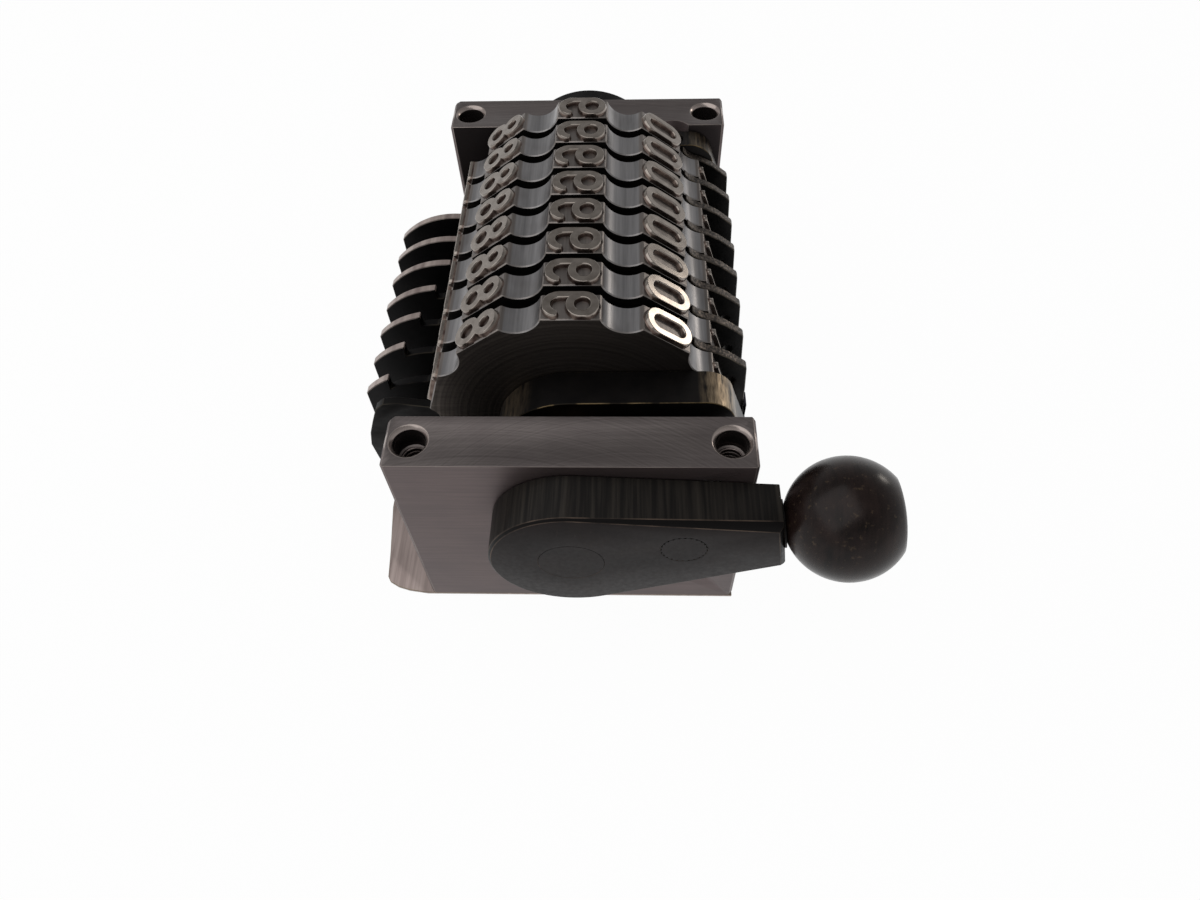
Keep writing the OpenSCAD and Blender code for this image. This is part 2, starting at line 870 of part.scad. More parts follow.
pawl(7);  // pawl_8
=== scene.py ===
# %% [markdown]
# # A hand-lever numbering head
# This lesson builds the looks of a small steel numbering head around its finished CAD solids.
# The CAD solids give every size and place, so each piece here starts from them. What is added is
# what a drawing leaves out: broken edges that catch the light, the raised figures on the type
# wheels, the screw threads, tool marks, black oxide and wear.
# Lengths are in metres, X points to the lever's ball, Y to the back and Z up.

# %% Load the CAD solids
import json
import math

import bmesh
import bpy
from mathutils import Matrix, Vector


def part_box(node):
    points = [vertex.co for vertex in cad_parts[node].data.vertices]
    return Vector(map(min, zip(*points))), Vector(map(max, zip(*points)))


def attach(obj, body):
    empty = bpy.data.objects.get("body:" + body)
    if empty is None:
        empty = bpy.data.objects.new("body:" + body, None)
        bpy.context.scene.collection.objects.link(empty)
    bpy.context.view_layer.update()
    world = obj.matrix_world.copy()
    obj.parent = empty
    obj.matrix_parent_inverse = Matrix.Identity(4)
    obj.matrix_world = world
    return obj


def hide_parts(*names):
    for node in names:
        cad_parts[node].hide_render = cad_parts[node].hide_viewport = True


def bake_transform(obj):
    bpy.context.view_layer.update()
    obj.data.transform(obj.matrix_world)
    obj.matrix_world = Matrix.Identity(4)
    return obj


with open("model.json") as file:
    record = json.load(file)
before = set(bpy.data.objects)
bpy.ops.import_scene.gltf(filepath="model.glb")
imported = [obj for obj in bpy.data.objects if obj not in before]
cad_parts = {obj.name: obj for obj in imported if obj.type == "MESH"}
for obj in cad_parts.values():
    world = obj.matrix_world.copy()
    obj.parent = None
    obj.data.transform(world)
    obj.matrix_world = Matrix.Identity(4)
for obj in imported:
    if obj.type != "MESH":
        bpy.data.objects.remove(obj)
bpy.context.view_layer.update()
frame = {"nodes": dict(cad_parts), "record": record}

MM = 0.001

# %% Helper: an object in the scene
def add_object(name, data):
    """An object with this data, linked to the scene. It sits at the origin, unturned."""
    made = bpy.data.objects.new(name, data)
    bpy.context.scene.collection.objects.link(made)
    return made


# %% [markdown]
# ## The camera
# The photograph looks steeply down on the head from a hand's breadth away, so its perspective is
# strong. The camera stands where a fit of the plates' corners puts it, with the same turn, tilt
# and lens, so that every edge falls where the photograph has it.

# %% Place the camera
CAMERA_AT = Vector((6.12, -78.18, 97.64)) * MM
CAMERA_YAW, CAMERA_PITCH, CAMERA_ROLL = (math.radians(a) for a in (-3.5205, 54.6549, -2.6948))
FOCAL_PIXELS, PICTURE_WIDE = 835.73, 1200
SENSOR_WIDE = 36


def camera_axes(yaw, pitch, roll):
    """The camera's right, up and back directions."""
    ahead = Vector((math.sin(yaw) * math.cos(pitch), math.cos(yaw) * math.cos(pitch),
                    -math.sin(pitch)))
    level = Vector((math.cos(yaw), -math.sin(yaw), 0))
    above = level.cross(ahead)
    right = level * math.cos(roll) + above * math.sin(roll)
    up = above * math.cos(roll) - level * math.sin(roll)
    return right, up, -ahead


camera_data = bpy.data.cameras.new("photo_camera")
camera_data.sensor_width = SENSOR_WIDE
camera_data.lens = SENSOR_WIDE * FOCAL_PIXELS / PICTURE_WIDE
camera_data.clip_start, camera_data.clip_end = 0.005, 20
camera = add_object("photo_camera", camera_data)
turn = Matrix(camera_axes(CAMERA_YAW, CAMERA_PITCH, CAMERA_ROLL)).transposed()
camera.matrix_world = Matrix.Translation(CAMERA_AT) @ turn.to_4x4()
bpy.context.scene.camera = camera
print("camera", round(camera_data.lens, 2), "mm lens")

# %% [markdown]
# ## Broken edges
# A real edge is never perfectly sharp. The maker runs a file or a stone along it, and that narrow
# face catches the light, which is how the eye reads a blackened part. A CAD solid arrives as
# loose triangles with knife edges, so each one is copied, its doubles merged, its flat faces
# joined up, and a narrow bevel cut along every sharp edge. The new faces carry the number 1 in
# an attribute named edge_wear, so that a material can rub them bright.

# %% Helpers: a CAD solid joined up, and a mesh shaded
SHARP = math.radians(28)
FLAT = math.radians(0.6)
SAME_POINT = 0.002 * MM


def joined_solid(node):
    """A CAD solid with its loose triangles joined, ready to be worked on."""
    bm = bmesh.new()
    bm.from_mesh(frame["nodes"][node].data)
    bmesh.ops.remove_doubles(bm, verts=bm.verts, dist=SAME_POINT)
    return bm


def shaded_mesh(name, bm, sharp=SHARP):
    """Turns bm into a mesh that is shaded smooth, with sharp edges above this angle."""
    mesh = bpy.data.meshes.new(name)
    bm.to_mesh(mesh)
    bm.free()
    mesh.shade_smooth()
    mesh.set_sharp_from_angle(angle=sharp)
    return mesh


# %% Helper: a copy of a CAD solid with its edges broken
def broken_edges(node, body, width, material):
    """Replaces a CAD node by a copy whose sharp edges have a bevel of this width."""
    bm = joined_solid(node)
    bmesh.ops.dissolve_limit(bm, angle_limit=FLAT, verts=bm.verts, edges=bm.edges)
    wear = bm.faces.layers.float.new("edge_wear")
    edges = [e for e in bm.edges if len(e.link_faces) == 2 and e.calc_face_angle(0) > SHARP]
    made = bmesh.ops.bevel(bm, geom=edges, offset=width, offset_type="OFFSET", segments=1,
                           affect="EDGES", clamp_overlap=False)
    for face in made["faces"]:
        face[wear] = 1.0
    bmesh.ops.triangulate(bm, faces=[f for f in bm.faces if len(f.verts) > 4])
    mesh = shaded_mesh(node + "_finished", bm)
    mesh.materials.append(material)
    piece = add_object(node + "_finished", mesh)
    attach(piece, body)
    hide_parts(node)
    return piece


# %% [markdown]
# ## Materials
# Steel shows how it was worked. A material here is a few nodes: a noise texture pulled out into
# streaks for grinding marks, a soft noise for stains and oxide, and bump for the marks' depth.
# Object coordinates are in metres, so a scale of 1000 has features about a millimetre long.

# %% Helper: a node with its inputs
def add_node(tree, kind, inputs=None, **options):
    """A new node. Each input, by name or number, takes a value or another node's socket."""
    node = tree.nodes.new(kind)
    for option, value in options.items():
        setattr(node, option, value)
    for socket, value in (inputs or {}).items():
        if isinstance(value, bpy.types.NodeSocket):
            tree.links.new(value, node.inputs[socket])
        else:
            node.inputs[socket].default_value = value
    return node


# %% Helper: small pieces of a material
class Finish:
    """A material made one step at a time, where each step returns a node's output socket."""

    def __init__(self, name, **fixed):
        self.material = bpy.data.materials.new(name)
        self.material.use_nodes = True
        self.tree = self.material.node_tree
        self.shader = self.tree.nodes["Principled BSDF"]
        for socket, value in fixed.items():
            self.shader.inputs[socket.replace("_", " ")].default_value = value
        self.place = add_node(self.tree, "ShaderNodeTexCoord").outputs["Object"]

    def mapped(self, scale=(1, 1, 1), location=(0, 0, 0), rotation=(0, 0, 0), vector=None):
        """A point's place, scaled, turned and moved for a pattern."""
        return add_node(self.tree, "ShaderNodeMapping", {
            "Vector": vector or self.place, "Location": location, "Rotation": rotation,
            "Scale": scale}).outputs["Vector"]

    def noise(self, scale, detail=3.0, roughness=0.55, rotation=(0, 0, 0)):
        """Clouds, or streaks where the scales along X, Y and Z differ."""
        return add_node(self.tree, "ShaderNodeTexNoise", {
            "Vector": self.mapped(scale=scale, rotation=rotation), "Scale": 1.0,
            "Detail": detail, "Roughness": roughness}).outputs["Fac"]

    def rings(self, vector, scale, detail):
        """Uneven rings round the Z axis of a mapped place."""
        flat = add_node(self.tree, "ShaderNodeVectorMath", {0: vector, 1: (1, 1, 0)},
                        operation="MULTIPLY")
        far = add_node(self.tree, "ShaderNodeVectorMath", {0: flat.outputs["Vector"]},
                       operation="LENGTH")
        return add_node(self.tree, "ShaderNodeTexNoise", {
            "W": far.outputs["Value"], "Scale": scale, "Detail": detail},
            noise_dimensions="1D").outputs["Fac"]

    def split(self, vector):
        """The three parts of a vector."""
        node = add_node(self.tree, "ShaderNodeSeparateXYZ", {"Vector": vector})
        return node.outputs["X"], node.outputs["Y"], node.outputs["Z"]

    def normal(self, axis):
        """How squarely the surface faces along an axis, from -1 to 1."""
        way = add_node(self.tree, "ShaderNodeTexCoord").outputs["Normal"]
        return add_node(self.tree, "ShaderNodeSeparateXYZ", {"Vector": way}).outputs[axis]

    def facing(self, axis):
        """The same without its sign."""
        return self.math("ABSOLUTE", self.normal(axis))

    def math(self, operation, a, b=0.0):
        return add_node(self.tree, "ShaderNodeMath", {0: a, 1: b},
                        operation=operation).outputs["Value"]

    def plus(self, a, b):
        return self.math("ADD", a, b)

    def minus(self, a, b):
        return self.math("SUBTRACT", a, b)

    def times(self, a, b):
        return self.math("MULTIPLY", a, b)

    def reach(self, a, b):
        """The long side of a right-angled triangle with these short sides."""
        return self.math("SQRT", self.plus(self.times(a, a), self.times(b, b)))

    def span(self, value, low, high, to_low=0.0, to_high=1.0):
        """Goes from to_low to to_high while the value goes from low to high."""
        return add_node(self.tree, "ShaderNodeMapRange", {
            "Value": value, "From Min": low, "From Max": high, "To Min": to_low,
            "To Max": to_high}, clamp=True).outputs["Result"]

    def blend(self, share, a, b):
        """Colour a where the share is 0 and colour b where it is 1."""
        return add_node(self.tree, "ShaderNodeMix", {0: share, 6: a, 7: b},
                        data_type="RGBA").outputs[2]

    def mix(self, share, a, b):
        """The same for two numbers."""
        return add_node(self.tree, "ShaderNodeMix", {0: share, 2: a, 3: b}).outputs[0]

    def wear(self, share):
        """The share on the broken edges, and 0 elsewhere."""
        node = add_node(self.tree, "ShaderNodeAttribute", attribute_name="edge_wear")
        return self.times(node.outputs["Fac"], share)

    def bump(self, height, strength, depth):
        return add_node(self.tree, "ShaderNodeBump", {
            "Height": height, "Strength": strength, "Distance": depth}).outputs["Normal"]

    def finish(self, color, roughness, normal):
        """Wires the shader up and returns the material."""
        for name, value in (("Base Color", color), ("Roughness", roughness), ("Normal", normal)):
            self.tree.links.new(value, self.shader.inputs[name])
        print("made", self.material.name)
        return self.material


def rgb(r, g, b):
    """A colour as a photograph shows it, turned into the linear numbers that a shader takes."""
    return tuple(((v / 255 + 0.055) / 1.055) ** 2.4 if v > 10 else v / 3294
                 for v in (r, g, b)) + (1.0,)


# %% [markdown]
# ### Ground end plates
# The broad faces were ground along X and show fine level lines. The top faces were faced with a
# turning cutter, which leaves arcs about a point in front of the part. The pattern follows which
# way the surface faces, so one material serves both.

# %% Material: ground plate steel
low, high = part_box("front_plate")
INNER_FACE, HOLE_Y = -high.y, -(low.y + high.y) / 2
HOLE_X = 16.5 * MM
SINK_RADIUS, MOUTH_RADIUS = 2.5 * MM, 1.72 * MM
# the turning cutter's middle on its first and second pass, in front of the part
FIRST_PASS, SECOND_PASS = Vector((6, -49, 0)) * MM, Vector((-9, -62, 0)) * MM


def plate_steel():
    f = Finish("ground_plate_steel", Metallic=0.85)
    lines = f.noise((120, 2500, 5200), detail=4, roughness=0.6)
    arcs = f.rings(f.mapped(location=-FIRST_PASS), 5200, detail=4)
    cross = f.rings(f.mapped(location=-SECOND_PASS), 4200, detail=3)
    arcs = f.times(f.plus(arcs, f.plus(cross, lines)), 1 / 3)
    patches = f.noise((180, 180, 180))
    x, y, z = f.split(f.place)
    lengthways, level = f.facing("Y"), f.facing("Z")
    upward = f.span(level, 0.7, 0.9)
    marks = f.mix(upward, lines, arcs)
    face = f.blend(upward, rgb(101, 89, 88), rgb(113, 106, 104))
    dark = f.blend(f.span(upward, 0, 1, 0.3, 0.5), face, rgb(62, 56, 56))
    color = f.blend(f.span(marks, 0.34, 0.62), dark, face)
    color = f.blend(f.span(patches, 0.62, 0.35, 0.0, 0.3), color, rgb(82, 74, 75))
    from_middle = f.math("ABSOLUTE", y)
    # painted shade: the inner faces of both plates, which face the wheels, are painted near black
    painted_inner_shade = f.times(f.span(from_middle, INNER_FACE + 0.3 * MM, INNER_FACE + 0.1 * MM),
                     f.span(lengthways, 0.8, 0.95))
    color = f.blend(painted_inner_shade, color, rgb(42, 37, 37))
    color = f.blend(f.wear(f.span(patches, 0.3, 0.7, 0.2, 0.7)), color, rgb(160, 151, 145))
    from_hole = f.reach(f.minus(f.math("ABSOLUTE", x), HOLE_X), f.minus(from_middle, HOLE_Y))
    near_hole = f.times(f.span(from_hole, SINK_RADIUS + 0.1 * MM, SINK_RADIUS),
                        f.span(level, 0.95, 0.85))
    # painted shade: the wall of each hole below its countersink is painted dark
    painted_mouth_shade = f.times(near_hole, f.span(from_hole, MOUTH_RADIUS + 0.04 * MM, MOUTH_RADIUS))
    color = f.blend(near_hole, color, rgb(156, 145, 140))
    color = f.blend(painted_mouth_shade, color, rgb(66, 60, 59))
    return f.finish(color, f.span(near_hole, 0, 1, 0.48, 0.24), f.bump(marks, 0.16, 0.012 * MM))


PLATE_STEEL = plate_steel()

# %% [markdown]
# ### Bright sheet
# The thin sheet underneath was only rolled, so it is the brightest steel on the head, with long
# soft streaks and a few scratches.

# %% Material: rolled sheet steel
def sheet_steel():
    f = Finish("rolled_sheet_steel", Metallic=0.85)
    streaks = f.noise((1500, 60, 900), detail=4)
    cloud = f.noise((140, 140, 140), detail=2)
    color = f.blend(f.span(streaks, 0.35, 0.65), rgb(134, 121, 117), rgb(172, 158, 153))
    color = f.blend(f.span(cloud, 0.4, 0.7, 0.0, 0.5), color, rgb(150, 137, 133))
    color = f.blend(f.wear(1.0), color, rgb(120, 110, 84))
    return f.finish(color, f.span(streaks, 0.3, 0.7, 0.44, 0.55), f.bump(streaks, 0.12, 0.01 * MM))


SHEET_STEEL = sheet_steel()

# %% [markdown]
# ### Type wheels
# Only the rim of a wheel is ground bright. Its two side faces and the ratchet keep the black of
# hardening, with faint scratches. Distance from the shaft and the way the surface faces decide.

# %% Material: type wheel steel
WHEELS = 8
SHAFT_Z = 19 * MM
FIRST_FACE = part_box("wheel_1")[0].y
RATCHET_RADIUS, PAD_RADIUS = 15.2 * MM, 17.12 * MM


def from_shaft(f):
    """A point's place measured from the shaft's middle line, and its distance from that line."""
    centred = f.mapped(location=(0, 0, -SHAFT_Z))
    x, y, z = f.split(centred)
    return centred, f.reach(x, z)


def wheel_steel():
    f = Finish("type_wheel_steel", Metallic=0.9)
    streaks = f.noise((1900, 70, 1900), detail=4, roughness=0.6)
    cloud = f.noise((260, 120, 260))
    scratch = f.noise((300, 300, 2600), detail=4, rotation=(0, 0.9, 0))
    centred, radius = from_shaft(f)
    x, y, z = f.split(centred)
    side = f.math("MAXIMUM", f.span(f.facing("Y"), 0.8, 0.95),
                  f.span(radius, RATCHET_RADIUS + 0.3 * MM, RATCHET_RADIUS))
    hollow = f.span(radius, PAD_RADIUS, PAD_RADIUS - 0.17 * MM)
    ground = f.blend(f.span(streaks, 0.3, 0.7), rgb(98, 93, 90), rgb(128, 121, 117))
    # partly painted light: the milled hollows are painted lighter than the ground pads, as the
    # curved hollows catch more light
    milled_and_lit = f.blend(f.span(streaks, 0.3, 0.7), rgb(116, 115, 116), rgb(146, 144, 145))
    bright = f.blend(hollow, ground, milled_and_lit)
    bright = f.blend(f.span(cloud, 0.5, 0.72, 0.0, 0.5), bright, rgb(82, 77, 75))
    black = f.blend(f.span(scratch, 0.45, 0.75), rgb(33, 31, 30), rgb(62, 57, 54))
    first_face = f.times(f.span(y, FIRST_FACE + 0.15 * MM, FIRST_FACE + 0.05 * MM), side)
    rings = f.rings(f.mapped(rotation=(math.pi / 2, 0, 0), vector=centred), 2600, detail=4)
    rubbed = f.blend(f.span(f.plus(rings, scratch), 0.8, 1.25), rgb(72, 66, 62), rgb(100, 93, 87))
    # painted shade: the first wheel's face is darkened towards +X
    rubbed = f.blend(f.span(x, -16 * MM, 14 * MM, 0.0, 0.8), rubbed, rgb(50, 46, 44))
    black = f.blend(first_face, black, rubbed)
    color = f.blend(side, bright, black)
    rim = f.times(f.span(radius, RATCHET_RADIUS + 0.2 * MM, RATCHET_RADIUS + 0.4 * MM),
                  f.span(cloud, 0.3, 0.6, 0.1, 0.5))
    color = f.blend(f.wear(rim), color, rgb(130, 123, 118))
    rough = f.mix(side, f.span(hollow, 0, 1, 0.36, 0.34), f.span(scratch, 0.3, 0.7, 0.5, 0.38))
    return f.finish(color, rough, f.bump(streaks, 0.08, 0.012 * MM))


WHEEL_STEEL = wheel_steel()

# %% [markdown]
# ### Raised figures
# The figures' flat tops have struck metal thousands of times and are polished. Their sloping
# flanks are painted brown and dark: painted shade and a painted warm reflection.

# %% Material: figure steel
FIGURE_HIGH = 0.52 * MM


def figure_steel():
    f = Finish("figure_steel", Metallic=0.95)
    grime = f.noise((900, 900, 900))
    centred, radius = from_shaft(f)
    figure_top = PAD_RADIUS + FIGURE_HIGH
    top = f.span(radius, figure_top - 0.14 * MM, figure_top - 0.02 * MM)
    # painted shade and painted warm reflection: the sloping flanks are painted darker and browner
    # than the tops
    flank_shade_and_reflection = f.blend(f.span(grime, 0.35, 0.65), rgb(70, 56, 52), rgb(120, 106, 98))
    struck = f.blend(f.span(grime, 0.35, 0.7), rgb(148, 140, 133), rgb(124, 116, 109))
    color = f.blend(top, flank_shade_and_reflection, struck)
    return f.finish(color, f.span(top, 0, 1, 0.36, 0.15), f.bump(grime, 0.06, 0.02 * MM))


FIGURE_STEEL = figure_steel()

# %% [markdown]
# ### Blackened steel
# Lever, arms, blades and ball are blackened in hot salts. The black is thin: grinding marks show
# through it and it rubs off at edges. One function makes the variants, which differ in the
# direction of the marks, the gloss and how far the rubbing has gone.

# %% Material: blackened steel in several variants
def black_steel(name, dark, light, marks, rough, worn, worn_share, metallic=0.8, specular=0.25,
                bump=0.3):
    """Marks pulled out along the axis with the smallest scale, and edges rubbed to worn."""
    f = Finish(name, Metallic=metallic, Specular_IOR_Level=specular)
    lines = f.noise(marks, detail=4, roughness=0.6)
    cloud = f.noise((330, 330, 330))
    color = f.blend(f.span(lines, 0.38, 0.72), rgb(*dark), rgb(*light))
    color = f.blend(f.span(cloud, 0.5, 0.75, 0.0, 0.4), color, rgb(*[v * 0.7 for v in dark]))
    rubbed = f.wear(f.span(cloud, 0.42, 0.62, worn_share * 0.25, worn_share))
    color = f.blend(rubbed, color, rgb(*worn))
    return f.finish(color, f.span(lines, 0.3, 0.7, rough + 0.08, rough - 0.06),
                    f.bump(lines, bump, 0.015 * MM))


BLADE_BLACK = black_steel("blade_black", (8, 7, 7), (20, 18, 17), (500, 500, 1600), 0.5,
                          (92, 86, 76), 0.4, 0.25, 0.1)
PLAIN_STEEL = black_steel("drawn_steel", (92, 90, 90), (138, 134, 132), (1500, 60, 1500), 0.34,
                          (170, 166, 160), 0.6)
SPRING_STEEL = black_steel("spring_steel", (44, 43, 52), (78, 76, 86), (900, 200, 900), 0.3,
                           (130, 124, 120), 0.5)
THREAD_STEEL = black_steel("thread_steel", (98, 88, 86), (142, 131, 127), (1500, 1500, 60), 0.42,
                           (120, 112, 106), 0.4)
BRONZE = black_steel("bearing_bronze", (66, 48, 30), (104, 78, 48), (1400, 100, 1400), 0.32,
                     (200, 160, 110), 0.6)

# %% [markdown]
# ### Lever and arms
# The lever's front face is smooth and brown-black. Fine marks run across its top face, and its
# top bevel is painted the blackest part, as painted shade along the top edge. The shaft and the
# stop pin are pressed in flush, so only a thin dark line tells where they end. Both arms are
# painted brown and bright over their round ends: partly rubbed wear, partly a painted highlight.

# %% Material: lever
STOP_X, STOP_Z = 11.695 * MM, 22.025 * MM
STOP_RADIUS, SHAFT_RADIUS = 2.4 * MM, 3.5 * MM


def fine_line(f, distance, radius, half_width):
    """1 on a circle of this radius and 0 a little way off it."""
    return f.span(f.math("ABSOLUTE", f.minus(distance, radius)), half_width, half_width * 0.5)


def lever_black():
    f = Finish("lever_black", Metallic=0.3, Specular_IOR_Level=0.12)
    x, y, z = f.split(f.place)
    backward = f.normal("Y")
    front = f.span(backward, -0.85, -0.95)
    painted_bevel_shade = f.times(f.span(backward, -0.3, -0.5), f.span(backward, -0.93, -0.85))
    across = f.noise((1900, 60, 1900), detail=4, roughness=0.6)
    cloud = f.noise((260, 260, 260), detail=4)
    fine = f.noise((2400, 2400, 500))
    top = f.blend(f.span(across, 0.4, 0.72), rgb(24, 22, 21), rgb(50, 46, 42))
    face = f.blend(f.span(cloud, 0.35, 0.7), rgb(18, 12, 12), rgb(26, 19, 18))
    face = f.blend(f.span(fine, 0.62, 0.75, 0.0, 0.4), face, rgb(44, 35, 32))
    color = f.blend(front, top, face)
    # painted shade: the top bevel is painted near black
    color = f.blend(painted_bevel_shade, color, rgb(15, 13, 13))
    color = f.blend(f.wear(f.span(cloud, 0.42, 0.62, 0.1, 0.7)), color, rgb(98, 84, 74))
    above_shaft = f.minus(z, SHAFT_Z)
    round_shaft = fine_line(f, f.reach(x, above_shaft), SHAFT_RADIUS, 0.09 * MM)
    lower_right = f.span(f.minus(x, above_shaft), -2.4 * MM, 0.6 * MM, 0.1, 1.0)
    from_pin = f.reach(f.minus(x, STOP_X), f.minus(z, STOP_Z))
    round_pin = fine_line(f, from_pin, STOP_RADIUS, 0.13 * MM)
    lines = f.math("MAXIMUM", f.times(round_shaft, lower_right), round_pin)
    color = f.blend(f.times(lines, front), color, rgb(6, 5, 5))
    marks = f.times(across, f.minus(1, front))
    return f.finish(color, f.span(across, 0.3, 0.7, 0.5, 0.4), f.bump(marks, 0.3, 0.015 * MM))


LEVER_BLACK = lever_black()

# %% Material: arms with rubbed ends
def arm_black():
    f = Finish("rubbed_and_highlit_arm_black", Metallic=0.8)
    x, y, z = f.split(f.place)
    along = f.noise((2200, 260, 900), detail=5, roughness=0.65)
    cloud = f.noise((420, 420, 420), detail=4)
    color = f.blend(f.span(cloud, 0.35, 0.7), rgb(13, 11, 11), rgb(24, 21, 20))
    edge = f.span(f.facing("Y"), 0.7, 0.4)
    end = f.times(f.span(x, 13.4 * MM, 15.2 * MM), f.span(x, 18.4 * MM, 17.0 * MM))
    hub_end = f.times(f.span(x, -4.5 * MM, -6.5 * MM), 0.35)
    high = f.span(z, 22 * MM, 24 * MM)
    # partly rubbed wear, partly a painted highlight: the round ends and the hub end are painted
    # bright brown on faces that don't face along Y
    patch = f.times(f.times(f.math("MAXIMUM", end, hub_end), high), edge)
    rub_and_highlight = f.times(patch, f.span(f.plus(along, f.times(cloud, 0.4)), 0.55, 0.85))
    front_arm = f.span(y, 2 * MM, 0, 0.35, 1.0)
    color = f.blend(f.times(rub_and_highlight, front_arm), color, rgb(166, 146, 120))
    color = f.blend(f.wear(f.span(cloud, 0.44, 0.6, 0.05, 0.8)), color, rgb(132, 113, 82))
    return f.finish(color, f.span(rub_and_highlight, 0, 1, 0.44, 0.3), f.bump(along, 0.2, 0.012 * MM))


ARM_BLACK = arm_black()

# %% [markdown]
# ### Ball, fingers and pawls
# Three blackened pieces need something of their own. The ball is polished and oiled, so its black
# is mottled brown and glossy. Each finger's tail is rubbed bright along its outer arc, up to
# its step. The pawls' top edges were filed to length and show the file's cross marks.

# %% Material: oiled ball
def ball_black():
    f = Finish("oiled_ball_black", Metallic=0.1, Specular_IOR_Level=0.2)
    cloud = f.noise((300, 200, 200), detail=6, roughness=0.68)
    turned = f.noise((1500, 160, 160), detail=4, roughness=0.6, rotation=(0, 0.16, 0))
    specks = f.noise((1900, 1900, 1900), detail=4)
    mottled = f.span(f.plus(cloud, f.times(turned, 0.5)), 0.55, 0.95)
    color = f.blend(mottled, rgb(12, 7, 7), rgb(40, 29, 26))
    color = f.blend(f.span(specks, 0.6, 0.72, 0.0, 0.4), color, rgb(84, 70, 54))
    return f.finish(color, f.span(cloud, 0.35, 0.65, 0.2, 0.32), f.bump(specks, 0.4, 0.012 * MM))


BALL_BLACK = ball_black()

# %% Material: fingers with a rubbed tail
TAIL_X, TAIL_Z, TAIL_RADIUS = -19.84 * MM, 6.43 * MM, 11.08 * MM


def finger_black():
    f = Finish("rubbed_finger_black", Metallic=0.6, Specular_IOR_Level=0.12)
    lines = f.noise((900, 60, 900), detail=4)
    cloud = f.noise((400, 400, 400))
    x, y, z = f.split(f.mapped(location=(-TAIL_X, 0, -TAIL_Z)))
    at_arc = f.span(f.reach(x, z), TAIL_RADIUS - 0.5 * MM, TAIL_RADIUS - 0.35 * MM)
    on_arc = f.times(f.span(f.facing("Y"), 0.75, 0.6), at_arc)
    black = f.blend(f.span(cloud, 0.4, 0.7), rgb(6, 5, 6), rgb(16, 14, 14))
    black = f.blend(f.wear(f.span(cloud, 0.45, 0.6, 0.0, 0.2)), black, rgb(80, 72, 60))
    bright = f.blend(f.span(lines, 0.3, 0.7), rgb(134, 120, 116), rgb(186, 173, 166))
    color = f.blend(on_arc, black, bright)
    return f.finish(color, f.span(on_arc, 0, 1, 0.46, 0.32), f.bump(lines, 0.15, 0.01 * MM))


FINGER_BLACK = finger_black()

# %% Material: pawls with filed top edges
def pawl_black():
    f = Finish("filed_pawl_black", Metallic=0.85)
    file_marks = f.noise((4200, 2600, 3000), roughness=0.65)
    cloud = f.noise((500, 500, 500))
    x, y, z = f.split(f.place)
    filed = f.times(f.span(f.facing("Y"), 0.8, 0.6), f.span(z, 22.5 * MM, 24.5 * MM))
    black = f.blend(f.span(cloud, 0.4, 0.7), rgb(14, 13, 13), rgb(30, 28, 27))
    light = f.blend(f.span(file_marks, 0.42, 0.7), rgb(34, 30, 28), rgb(98, 88, 80))
    color = f.blend(filed, black, light)
    color = f.blend(f.wear(f.span(cloud, 0.45, 0.6, 0.1, 0.5)), color, rgb(104, 96, 84))
    return f.finish(color, f.span(file_marks, 0.3, 0.7, 0.5, 0.36),
                    f.bump(file_marks, 0.4, 0.03 * MM))


PAWL_BLACK = pawl_black()

# %% Give every CAD node its finish, then break the edges of the pieces that show
body_of_node = {n: b for b, nodes in frame["record"]["behaviour"]["bodies"].items() for n in nodes}
slot_of_node = {s["node"]: s["material_slot"] for s in frame["record"]["subparts"]}
finish_of_slot = {
    "plate": PLATE_STEEL, "sheet": SHEET_STEEL, "bar": PLAIN_STEEL, "spring": SPRING_STEEL,
    "bush": BRONZE, "lever": LEVER_BLACK, "shaft": LEVER_BLACK, "ball": BALL_BLACK,
    "stud": BLADE_BLACK, "arm": ARM_BLACK, "disc": BLADE_BLACK, "wheel": WHEEL_STEEL,
    "finger": FINGER_BLACK, "pawl": PAWL_BLACK,
}
for node, obj in frame["nodes"].items():
    obj.data.materials.clear()
    obj.data.materials.append(finish_of_slot[slot_of_node[node]])

BEVELS = {"plate": 0.05 * MM, "sheet": 0.05 * MM, "lever": 0.06 * MM, "ball": 0.2 * MM,
          "arm": 0.08 * MM, "disc": 0.12 * MM, "wheel": 0.12 * MM, "finger": 0.1 * MM,
          "pawl": 0.1 * MM}
FLUSH_RIVETS = ("base_rivets", "spring_rivets")
finished = {}
for node, slot in slot_of_node.items():
    if slot in BEVELS and node not in FLUSH_RIVETS:
        finish = BLADE_BLACK if node == "finger_1" else finish_of_slot[slot]
        finished[node] = broken_edges(node, body_of_node[node], BEVELS[slot], finish)
print("broke the edges of", len(finished), "pieces")

# %% [markdown]
# ## The springs
# A spring isn't rigid. The two comb springs are cut into a strip, which stays put, and a tongue
# for each blade, with rows of points along it where it could bend. The torsion spring is kept as
# one piece. At rest they lie where the CAD has them.

# %% Helpers: cut a spring's solid, and make a piece of it
UP, DOWN, LEFT, RIGHT, FRONT, BACK = [Vector(v) for v in (
    (0, 0, 1), (0, 0, -1), (-1, 0, 0), (1, 0, 0), (0, -1, 0), (0, 1, 0))]


